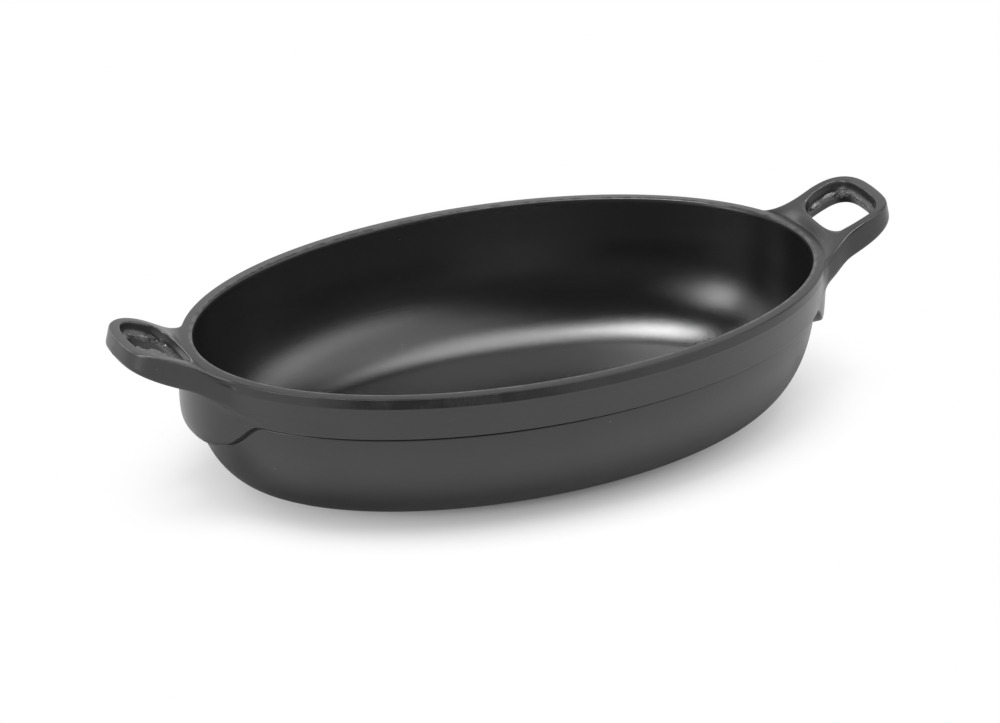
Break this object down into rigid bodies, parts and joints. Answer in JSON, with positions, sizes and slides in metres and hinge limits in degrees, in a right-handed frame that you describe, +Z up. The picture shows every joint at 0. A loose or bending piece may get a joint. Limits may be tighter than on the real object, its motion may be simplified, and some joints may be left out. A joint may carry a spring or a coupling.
{
  "type": "serving pan",
  "caption": "Small oval serving pan in black cast iron: a deep bowl under a thick flat rim, a raised belt round the upper wall and an arched loop handle with a finger hole at each end.",
  "frame": {"origin": "middle of the flat base, where the pan meets the table", "axes": "+X along the pan to the right handle, +Y across the pan to the far side, +Z up"},
  "size_m": [0.3068, 0.152, 0.0695],
  "materials": {
    "iron": "smooth satin black coat",
    "ground_iron": "coat over a ground edge",
    "enamel": "fine-grained half-gloss enamel"
  },
  "bodies": {
    "root": {"bowl": "iron", "lining": "enamel", "rim": "ground_iron", "belt": "iron", "right_apron": "iron", "left_apron": "iron", "right_handle": "iron", "left_handle": "iron"}
  },
  "joints": []
}
